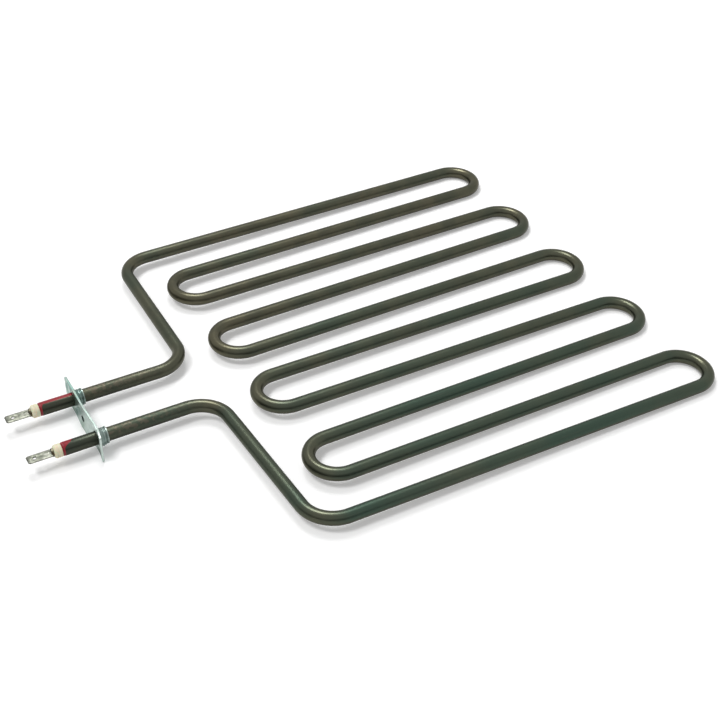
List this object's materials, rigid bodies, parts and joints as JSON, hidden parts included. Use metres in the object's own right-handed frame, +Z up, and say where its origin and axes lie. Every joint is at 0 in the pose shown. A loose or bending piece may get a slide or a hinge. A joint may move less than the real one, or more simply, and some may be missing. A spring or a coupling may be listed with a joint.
{
  "type": "sauna heating element",
  "caption": "Tubular sauna heating element: one steel tube bent flat into long parallel runs, with two legs, a mounting bracket and flat push-on terminals.",
  "frame": {"origin": "middle of the bracket's mounting face, on the axis of its fixing hole and midway between the two legs", "axes": "+X along the legs from the terminals into the heated loops, +Y towards the rear leg, +Z up, square to the plane of the bent tube"},
  "size_m": [0.4037, 0.3066, 0.018],
  "materials": {
    "sheath_steel": "heat-treated steel, dark olive oxide with a satin sheen",
    "magnesia": "packed white powder",
    "resistance_alloy": "dull drawn wire",
    "zinc_plate": "blue-passivated zinc plating, satin",
    "pin_steel": "turned steel, lightly oxidised",
    "red_silicone": "glossy red silicone",
    "cream_ceramic": "unglazed cream ceramic",
    "nickel_plate": "dull nickel plating"
  },
  "bodies": {
    "root": {"sheath_tube": "sheath_steel", "magnesia_filling": "magnesia", "heating_coil": "resistance_alloy", "mounting_bracket": "zinc_plate", "rear_terminal_pin": "pin_steel", "rear_end_seal": "red_silicone", "rear_ceramic_bead": "cream_ceramic", "rear_terminal_tab": "nickel_plate", "front_terminal_pin": "pin_steel", "front_end_seal": "red_silicone", "front_ceramic_bead": "cream_ceramic", "front_terminal_tab": "nickel_plate"}
  },
  "joints": []
}
